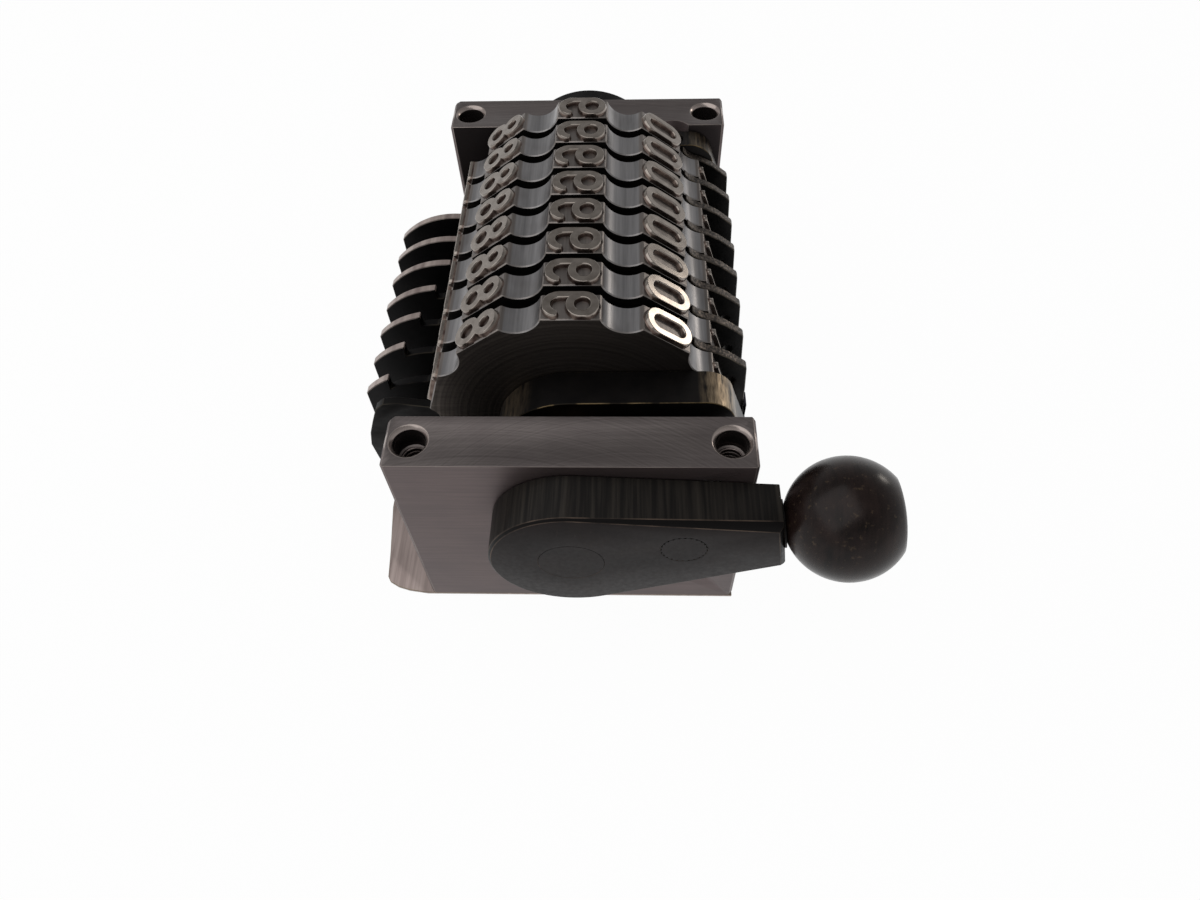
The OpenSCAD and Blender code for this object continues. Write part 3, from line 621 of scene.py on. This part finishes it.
def cut_part(bm, node, planes, rows=()):
    """Adds to bm what is left of a CAD solid behind each plane (point, outward way), closed.
    The other planes, in rows, only give it rows of points to bend at."""
    part = joined_solid(node)
    for at, way in planes:
        made = bmesh.ops.bisect_plane(part, geom=part.verts[:] + part.edges[:] + part.faces[:],
                                      plane_co=at, plane_no=way, clear_outer=True)
        edges = [e for e in made["geom_cut"] if isinstance(e, bmesh.types.BMEdge)]
        if edges:
            bmesh.ops.holes_fill(part, edges=edges)
    for at in rows:
        bmesh.ops.bisect_plane(part, geom=part.verts[:] + part.edges[:] + part.faces[:],
                               plane_co=at, plane_no=UP)
    mesh = bpy.data.meshes.new("part")
    part.to_mesh(mesh)
    part.free()
    bm.from_mesh(mesh)
    bpy.data.meshes.remove(mesh)


def spring_piece(name, bm, node=None):
    """Turns bm into a finished spring piece, not yet riding on anything."""
    bmesh.ops.recalc_face_normals(bm, faces=bm.faces)
    mesh = shaded_mesh(name, bm)
    mesh.materials.append(SPRING_STEEL)
    piece = add_object(name, mesh)
    if node:
        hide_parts(node)
    return piece


def middle_y(node):
    """Where along the shaft the middle of a CAD solid is."""
    low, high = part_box(node)
    return (low.y + high.y) / 2


blade_ys = [middle_y("finger_%d" % k) for k in range(1, WHEELS + 1)]
print("blades every", round((blade_ys[1] - blade_ys[0]) / MM, 2), "mm")

# %% The fingers' comb: tongues leave the strip at its left edge and rise to the fingers' tails
ROOT_X, ROOT_Z = -22.7 * MM, 0.6 * MM
HALF_CUT = 1.2 * MM
root = Vector((ROOT_X, 0, 0))
bend_rows = [Vector((0, 0, z * MM)) for z in (1, 1.5, 2, 2.5, 3, 3.5)]
bm = bmesh.new()
cut_part(bm, "finger_spring", [(root, LEFT)])
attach(spring_piece("finger_spring_strip", bm, "finger_spring"), "frame")
for k, y in enumerate(blade_ys, 1):
    bm = bmesh.new()
    cut_part(bm, "finger_spring", [
        (root, RIGHT), (Vector((0, y - HALF_CUT, 0)), FRONT), (Vector((0, y + HALF_CUT, 0)), BACK)],
        bend_rows)
    piece = spring_piece("finger_spring_tongue_%d" % k, bm)
    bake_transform(piece)
print("fingers' comb:", len(blade_ys), "tongues")

# %% The pawls' comb: slits on both sides of a tongue run down near the strip's lower edge
# a tongue is a sliver narrower than its place in the strip, so that they don't share a face
SLIT_UP, BEND_HIGH = 0.45 * MM, 1.3 * MM
HALF_PLACE, SLIVER = 1 * MM, 0.001 * MM
low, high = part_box("pawl_spring")
slit = low.z + SLIT_UP
above_slit = (Vector((0, 0, slit)), DOWN)
bend_rows = [Vector((0, 0, slit + z * MM)) for z in (0.2, 0.4, 0.6, 0.8, 1.0, 1.2)]
bm = bmesh.new()
cut_part(bm, "pawl_spring", [(Vector((0, 0, slit)), UP)])
ends = [low.y - MM] + [v for y in blade_ys for v in (y - HALF_PLACE, y + HALF_PLACE)]
ends.append(high.y + MM)
for y0, y1 in zip(ends[0::2], ends[1::2]):
    cut_part(bm, "pawl_spring", [
        above_slit, (Vector((0, y0, 0)), FRONT), (Vector((0, y1, 0)), BACK)])
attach(spring_piece("pawl_spring_strip", bm, "pawl_spring"), "swing")
half = HALF_PLACE - SLIVER
for k, y in enumerate(blade_ys, 1):
    bm = bmesh.new()
    cut_part(bm, "pawl_spring", [
        above_slit, (Vector((0, y - half, 0)), FRONT), (Vector((0, y + half, 0)), BACK)],
        bend_rows)
    piece = spring_piece("pawl_spring_tongue_%d" % k, bm)
    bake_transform(piece)
print("pawls' comb:", len(blade_ys), "tongues")

# %% The torsion spring, kept as one piece
low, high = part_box("return_spring")
bm = bmesh.new()
cut_part(bm, "return_spring", [])
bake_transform(spring_piece("return_spring_turns", bm, "return_spring"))

# %% [markdown]
# ## The raised figures
# Each pad of a type wheel carries one figure, raised and mirror-reversed so that it prints the
# right way round. A figure is drawn as a few strokes on a small grid, right and up as it reads.
# Each stroke becomes a ridge: a flat top and sloping flanks, wider at the foot.

# %% Draw the ten figures as strokes, in millimetres
HALF_LONG, HALF_WIDE = 2.53, 1.38


def arc(cx, cy, rx, ry, start, end, steps=14):
    """Points on an arc, angles in degrees anticlockwise from the right."""
    angles = [math.radians(start + (end - start) * i / steps) for i in range(steps + 1)]
    return [(cx + rx * math.cos(a), cy + ry * math.sin(a)) for a in angles]


def ring(cy, half_high, half_wide=HALF_WIDE):
    """A closed loop with round ends and straight sides."""
    straight = max(half_high - half_wide, 0)
    radius = min(half_high, half_wide)
    upper = arc(0, cy + straight, half_wide, radius, 0, 180)
    lower = arc(0, cy - straight, half_wide, radius, 180, 360)
    return upper + lower if straight > 0 else upper[:-1] + lower[:-1]


W, L = HALF_WIDE, HALF_LONG
figure_strokes = {
    0: [(ring(0, L), True)],
    1: [([(-0.95, L - 0.8), (0.1, L), (0.1, -L)], False)],
    2: [(arc(0, L - W, W, W, 165, -20) + [(-W, -L), (W, -L)], False)],
    3: [(arc(0, L - 1.1, W, 1.1, 150, -80) + [(-0.1, 0.08)], False),
        (arc(0, -L + 1.2, W, 1.2, 85, -150), False)],
    4: [([(0.4, -L), (0.4, L), (-W, -0.75), (W, -0.75)], False)],
    5: [([(W - 0.1, L), (-W + 0.1, L), (-W + 0.05, 0.35)]
         + arc(0, -L + 1.3, W, 1.3, 130, -150), False)],
    6: [(ring(-L + 1.3, 1.3), True), (arc(0, L - W, W, W, 25, 180) + [(-W, -1.1)], False)],
    7: [([(-W, L), (W, L), (-0.25, -L)], False)],
    8: [(ring(L - 1.16, 1.16, 1.18), True), (ring(-L + 1.3, 1.3), True)],
    9: [(ring(L - 1.3, 1.3), True), (arc(0, -L + W, W, W, 205, 360) + [(W, 1.1)], False)],
}
print("figures drawn:", sorted(figure_strokes))

# %% Turn a stroke into a ridge
EDGE_OF_WHEEL = 1.79
OVERLAP_STEP = 0.004
TOP_SHARP = math.radians(25)
# half a ridge's width at each height above the pad, in millimetres
PROFILE = [(0.6, -0.08), (0.57, 0.0), (0.52, 0.2), (0.46, 0.42), (0.42, 0.49),
           (0.36, FIGURE_HIGH / MM)]


def side_points(path, half, closed):
    """The path moved sideways by half, with its corners mitred."""
    count = len(path)
    moved = []
    for i, (x, y) in enumerate(path):
        before = path[i - 1] if closed or i > 0 else None
        after = path[(i + 1) % count] if closed or i < count - 1 else None
        normals = []
        for a, b in ((before, (x, y)), ((x, y), after)):
            if a and b:
                dx, dy = b[0] - a[0], b[1] - a[1]
                size = math.hypot(dx, dy)
                normals.append(Vector((dy / size, -dx / size)))
        middle = sum(normals, Vector((0, 0))).normalized()
        reach = half / max(middle.dot(normals[0]), 0.5)
        moved.append((x + middle.x * reach, y + middle.y * reach))
    return moved


def stroke_outlines(path, half, closed):
    """One outline round an open stroke with round ends, or two round a closed one."""
    right = side_points(path, half, closed)
    left = side_points(path, -half, closed)
    if closed:
        return [right, left]
    outline = list(right)
    for end, towards in ((path[-1], path[-2]), (path[0], path[1])):
        heading = math.degrees(math.atan2(end[1] - towards[1], end[0] - towards[0]))
        cap = arc(end[0], end[1], half, half, heading - 90, heading + 90, steps=8)[1:-1]
        outline += cap
        if end is path[-1]:
            outline += list(reversed(left))
    return [outline]


def add_ridge(bm, path, closed, lift):
    """One stroke's solid. Its foot ends at the wheel's sides, its flanks lean in to a flat top."""
    rows = []
    for half, high in PROFILE:
        loops = stroke_outlines(path, half, closed)
        rows.append([[bm.verts.new((y * MM, max(-EDGE_OF_WHEEL, min(EDGE_OF_WHEEL, x)) * MM,
                                    (high + lift) * MM)) for x, y in loop] for loop in loops])
    strips = [pair for low, high in zip(rows, rows[1:]) for pair in zip(low, high)]
    if closed:
        strips += [rows[0], rows[-1]]
    else:
        bm.faces.new(rows[0][0])
        bm.faces.new(rows[-1][0])
    for one, other in strips:
        for i in range(len(one)):
            j = (i + 1) % len(one)
            bm.faces.new((one[i], one[j], other[j], other[i]))


figure_library = bpy.data.collections.new("figure_library")
for digit, strokes in figure_strokes.items():
    bm = bmesh.new()
    for n, (path, closed) in enumerate(strokes):
        add_ridge(bm, path, closed, -OVERLAP_STEP * n)
    bmesh.ops.recalc_face_normals(bm, faces=bm.faces)
    bmesh.ops.triangulate(bm, faces=[f for f in bm.faces if len(f.verts) > 4])
    name = "figure_%d" % digit
    figure_library.objects.link(bpy.data.objects.new(name, shaded_mesh(name, bm, TOP_SHARP)))

# %% [markdown]
# Ten figures on each of eight wheels is a job for Geometry Nodes: ten points, one instance on
# each, turned a tenth of a circle further every time, then pushed out along its own Z axis to
# the pad. The tree takes the collection of figures and puts the next one on each point.

# %% Helpers: start a node tree, end it, and keep what it makes as a plain mesh
def tree_with_inputs(name, inputs):
    """An empty geometry tree, the sockets that give its named inputs, and its output node."""
    tree = bpy.data.node_groups.new(name, "GeometryNodeTree")
    for label, kind in inputs.items():
        tree.interface.new_socket(label, in_out="INPUT", socket_type=kind)
    tree.interface.new_socket("Geometry", in_out="OUTPUT", socket_type="NodeSocketGeometry")
    return tree, tree.nodes.new("NodeGroupInput").outputs, tree.nodes.new("NodeGroupOutput")


def end_tree(tree, result, instances, material):
    """Makes the instances real, gives them their finish and sends them out."""
    real = add_node(tree, "GeometryNodeRealizeInstances", {"Geometry": instances})
    paint = add_node(tree, "GeometryNodeSetMaterial", {
        "Geometry": real.outputs["Geometry"], "Material": material})
    tree.links.new(paint.outputs["Geometry"], result.inputs["Geometry"])


def plain_mesh(name, tree, values, material, body):
    """Runs a tree on an empty mesh, keeps the result as a plain mesh and lets it ride on a body."""
    holder = add_object(name + "_holder", bpy.data.meshes.new(name + "_holder"))
    modifier = holder.modifiers.new("build", "NODES")
    modifier.node_group = tree
    for socket in tree.interface.items_tree:
        if socket.in_out == "INPUT":
            modifier[socket.identifier] = values[socket.name]
    shown = holder.evaluated_get(bpy.context.evaluated_depsgraph_get())
    mesh = bpy.data.meshes.new_from_object(shown)
    holder.modifiers.clear()
    bpy.data.objects.remove(holder)
    mesh.name = name
    mesh.materials.clear()
    mesh.materials.append(material)
    piece = add_object(name, mesh)
    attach(piece, body)
    return piece


# %% Build the node tree that sets figures round a wheel
FIGURES = 10
figure_tree, given, result = tree_with_inputs("figures_round_a_wheel", {
    "Figures": "NodeSocketCollection", "Pad radius": "NodeSocketFloat",
    "Axis": "NodeSocketVector", "First": "NodeSocketInt", "Finish": "NodeSocketMaterial"})
points = add_node(figure_tree, "GeometryNodeMeshLine", {"Count": FIGURES, "Offset": (0, 0, 0)})
library = add_node(figure_tree, "GeometryNodeCollectionInfo", {
    "Collection": given["Figures"], "Separate Children": True, "Reset Children": True})
index = add_node(figure_tree, "GeometryNodeInputIndex").outputs["Index"]
which = add_node(figure_tree, "ShaderNodeMath", {0: index, 1: given["First"]}, operation="ADD")
wrapped = add_node(figure_tree, "ShaderNodeMath", {0: which.outputs[0], 1: FIGURES},
                   operation="MODULO")
figures = add_node(figure_tree, "GeometryNodeInstanceOnPoints", {
    "Points": points.outputs["Mesh"], "Instance": library.outputs["Instances"],
    "Pick Instance": True, "Instance Index": wrapped.outputs[0]})
angle = add_node(figure_tree, "ShaderNodeMath", {0: index, 1: 2 * math.pi / FIGURES},
                 operation="MULTIPLY")
about_y = add_node(figure_tree, "ShaderNodeCombineXYZ", {"Y": angle.outputs[0]})
turned = add_node(figure_tree, "GeometryNodeRotateInstances", {
    "Instances": figures.outputs["Instances"], "Rotation": about_y.outputs["Vector"]})
outward = add_node(figure_tree, "ShaderNodeCombineXYZ", {"Z": given["Pad radius"]})
pushed = add_node(figure_tree, "GeometryNodeTranslateInstances", {
    "Instances": turned.outputs["Instances"], "Translation": outward.outputs["Vector"]})
centred = add_node(figure_tree, "GeometryNodeTransform", {
    "Geometry": pushed.outputs["Instances"], "Translation": given["Axis"]})
end_tree(figure_tree, result, centred.outputs["Geometry"], given["Finish"])
print("figure tree:", len(figure_tree.nodes), "nodes")

# %% Set the figures on the eight wheels
WHEEL_WIDE = 3.62 * MM
TOP_FIGURE = 9
for k in range(1, WHEELS + 1):
    front_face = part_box("wheel_%d" % k)[0].y
    plain_mesh("wheel_%d_figures" % k, figure_tree, {
        "Figures": figure_library,
        "Pad radius": PAD_RADIUS,
        "Axis": (0.0, front_face + WHEEL_WIDE / 2, SHAFT_Z),
        "First": TOP_FIGURE,
        "Finish": FIGURE_STEEL,
    }, FIGURE_STEEL, "wheel_%d" % k)
print("figures set on", WHEELS, "wheels")

# %% [markdown]
# ## Screw threads
# The tapped holes have a plain mouth, and the first turns of thread show below it. A thread is a
# helix with a V-shaped section, so the tree draws a spiral curve from the end of the mouth down,
# sweeps a three-cornered profile along it, and sets a copy in each of a plate's two holes.

# %% Build the node tree for a plate's threads
thread_tree, given, result = tree_with_inputs("threads_in_two_holes", {
    "Root radius": "NodeSocketFloat", "Pitch": "NodeSocketFloat", "Turns": "NodeSocketFloat",
    "Ridge": "NodeSocketFloat", "First hole": "NodeSocketVector", "Hole gap": "NodeSocketVector",
    "Finish": "NodeSocketMaterial"})
height = add_node(thread_tree, "ShaderNodeMath", {0: given["Pitch"], 1: given["Turns"]},
                  operation="MULTIPLY")
spiral = add_node(thread_tree, "GeometryNodeCurveSpiral", {
    "Resolution": 40, "Rotations": given["Turns"], "Start Radius": given["Root radius"],
    "End Radius": given["Root radius"], "Height": height.outputs[0]})
profile = add_node(thread_tree, "GeometryNodeCurvePrimitiveCircle", {
    "Resolution": 3, "Radius": given["Ridge"]})
sweep = add_node(thread_tree, "GeometryNodeCurveToMesh", {
    "Curve": spiral.outputs["Curve"], "Profile Curve": profile.outputs["Curve"],
    "Fill Caps": True})
holes = add_node(thread_tree, "GeometryNodeMeshLine", {
    "Count": 2, "Start Location": given["First hole"], "Offset": given["Hole gap"]})
copies = add_node(thread_tree, "GeometryNodeInstanceOnPoints", {
    "Points": holes.outputs["Mesh"], "Instance": sweep.outputs["Mesh"]})
end_tree(thread_tree, result, copies.outputs["Instances"], given["Finish"])
print("thread tree:", len(thread_tree.nodes), "nodes")

# %% Threads in the four holes
TAP_RADIUS, MOUTH_DEEP = 1.38 * MM, 3 * MM
THREAD_PITCH, TURNS, RIDGE = 0.6 * MM, 7.0, 0.22 * MM
BELOW_MOUTH, SUNK_IN = 0.05 * MM, 0.01 * MM
for plate in ("front_plate", "back_plate"):
    low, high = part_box(plate)
    thread_end = high.z - MOUTH_DEEP - TURNS * THREAD_PITCH - BELOW_MOUTH
    plain_mesh(plate + "_threads", thread_tree, {
        "Root radius": TAP_RADIUS - SUNK_IN,
        "Pitch": THREAD_PITCH,
        "Turns": TURNS,
        "Ridge": RIDGE,
        "First hole": (-HOLE_X, middle_y(plate), thread_end),
        "Hole gap": (2 * HOLE_X, 0.0, 0.0),
        "Finish": THREAD_STEEL,
    }, THREAD_STEEL, "frame")
print("threads cut in both plates")

# %% [markdown]
# ## Floor, backdrop and light
# The photograph has a pure white ground. The floor is white paper: to the camera and in
# reflections it is plain white with the head's soft shadow on it, and it bounces light like
# paper. The room's light comes from all round, brighter near the horizon, with a soft lamp
# above at the left and a low window behind at the right that glints on the polished figures.

# %% Floor
FLOOR_HALF, FLOOR_Z = 3, -0.02 * MM
PAPER_WHITE = 0.97
floor_mesh = bpy.data.meshes.new("paper_floor")
floor_mesh.from_pydata([(x * FLOOR_HALF, y * FLOOR_HALF, FLOOR_Z)
                        for x, y in ((-1, -1), (1, -1), (1, 1), (-1, 1))], [], [(0, 1, 2, 3)])
floor = add_object("paper_floor", floor_mesh)
paper = bpy.data.materials.new("white_paper")
paper.use_nodes = True
tree = paper.node_tree
matte = tree.nodes["Principled BSDF"]
matte.inputs["Base Color"].default_value = (0.82, 0.82, 0.82, 1)
matte.inputs["Roughness"].default_value = 0.9
white = add_node(tree, "ShaderNodeEmission", {"Color": (1, 1, 1, 1)})
rays = add_node(tree, "ShaderNodeLightPath").outputs
seen = add_node(tree, "ShaderNodeMath", {0: rays["Is Camera Ray"], 1: rays["Is Glossy Ray"]},
                operation="MAXIMUM")
seen = add_node(tree, "ShaderNodeMath", {0: seen.outputs[0], 1: rays["Is Transmission Ray"]},
                operation="MAXIMUM")
share = add_node(tree, "ShaderNodeMath", {0: seen.outputs[0], 1: PAPER_WHITE},
                 operation="MULTIPLY")
both = add_node(tree, "ShaderNodeMixShader", {
    "Fac": share.outputs[0], 1: matte.outputs["BSDF"], 2: white.outputs["Emission"]})
tree.links.new(both.outputs["Shader"], tree.nodes["Material Output"].inputs["Surface"])
floor_mesh.materials.append(paper)
print("floor laid")

# %% Room light
AT_HORIZON, OVERHEAD, OVERHEAD_FROM = 0.75, 0.28, 0.75
world = bpy.data.worlds.new("white_room")
bpy.context.scene.world = world
world.use_nodes = True
tree = world.node_tree
way = add_node(tree, "ShaderNodeTexCoord").outputs["Generated"]
height = add_node(tree, "ShaderNodeSeparateXYZ", {"Vector": way}).outputs["Z"]
fade = add_node(tree, "ShaderNodeMapRange", {
    "Value": height, "From Min": 0.0, "From Max": OVERHEAD_FROM, "To Min": AT_HORIZON,
    "To Max": OVERHEAD})
to_camera = add_node(tree, "ShaderNodeLightPath").outputs["Is Camera Ray"]
shown = add_node(tree, "ShaderNodeMixRGB", {
    0: to_camera, 1: fade.outputs["Result"], 2: (1, 1, 1, 1)})
room = tree.nodes["Background"]
room.inputs["Strength"].default_value = 1.0
tree.links.new(shown.outputs[0], room.inputs["Color"])
print("room lit")

# %% Lamps
AIM = Vector((0, 0, 20 * MM))


def soft_lamp(name, at, size, power, color=(1, 1, 1)):
    """A square lamp aimed at the middle of the head."""
    data = bpy.data.lights.new(name, "AREA")
    data.shape = "RECTANGLE"
    data.size, data.size_y = size, size
    data.energy = power
    data.color = color
    lamp = add_object(name, data)
    lamp.location = at
    lamp.rotation_euler = (AIM - Vector(at)).to_track_quat("-Z", "Y").to_euler()


soft_lamp("lamp_above_left", (-0.25, -0.1, 0.5), 0.75, 2.0)
soft_lamp("window_behind_right", (0.3746, 0.3148, 0.12), 0.085, 0.14, (1, 0.93, 0.84))
print("lamps placed")

# %% Last step
bpy.context.scene.view_settings.view_transform = "Standard"
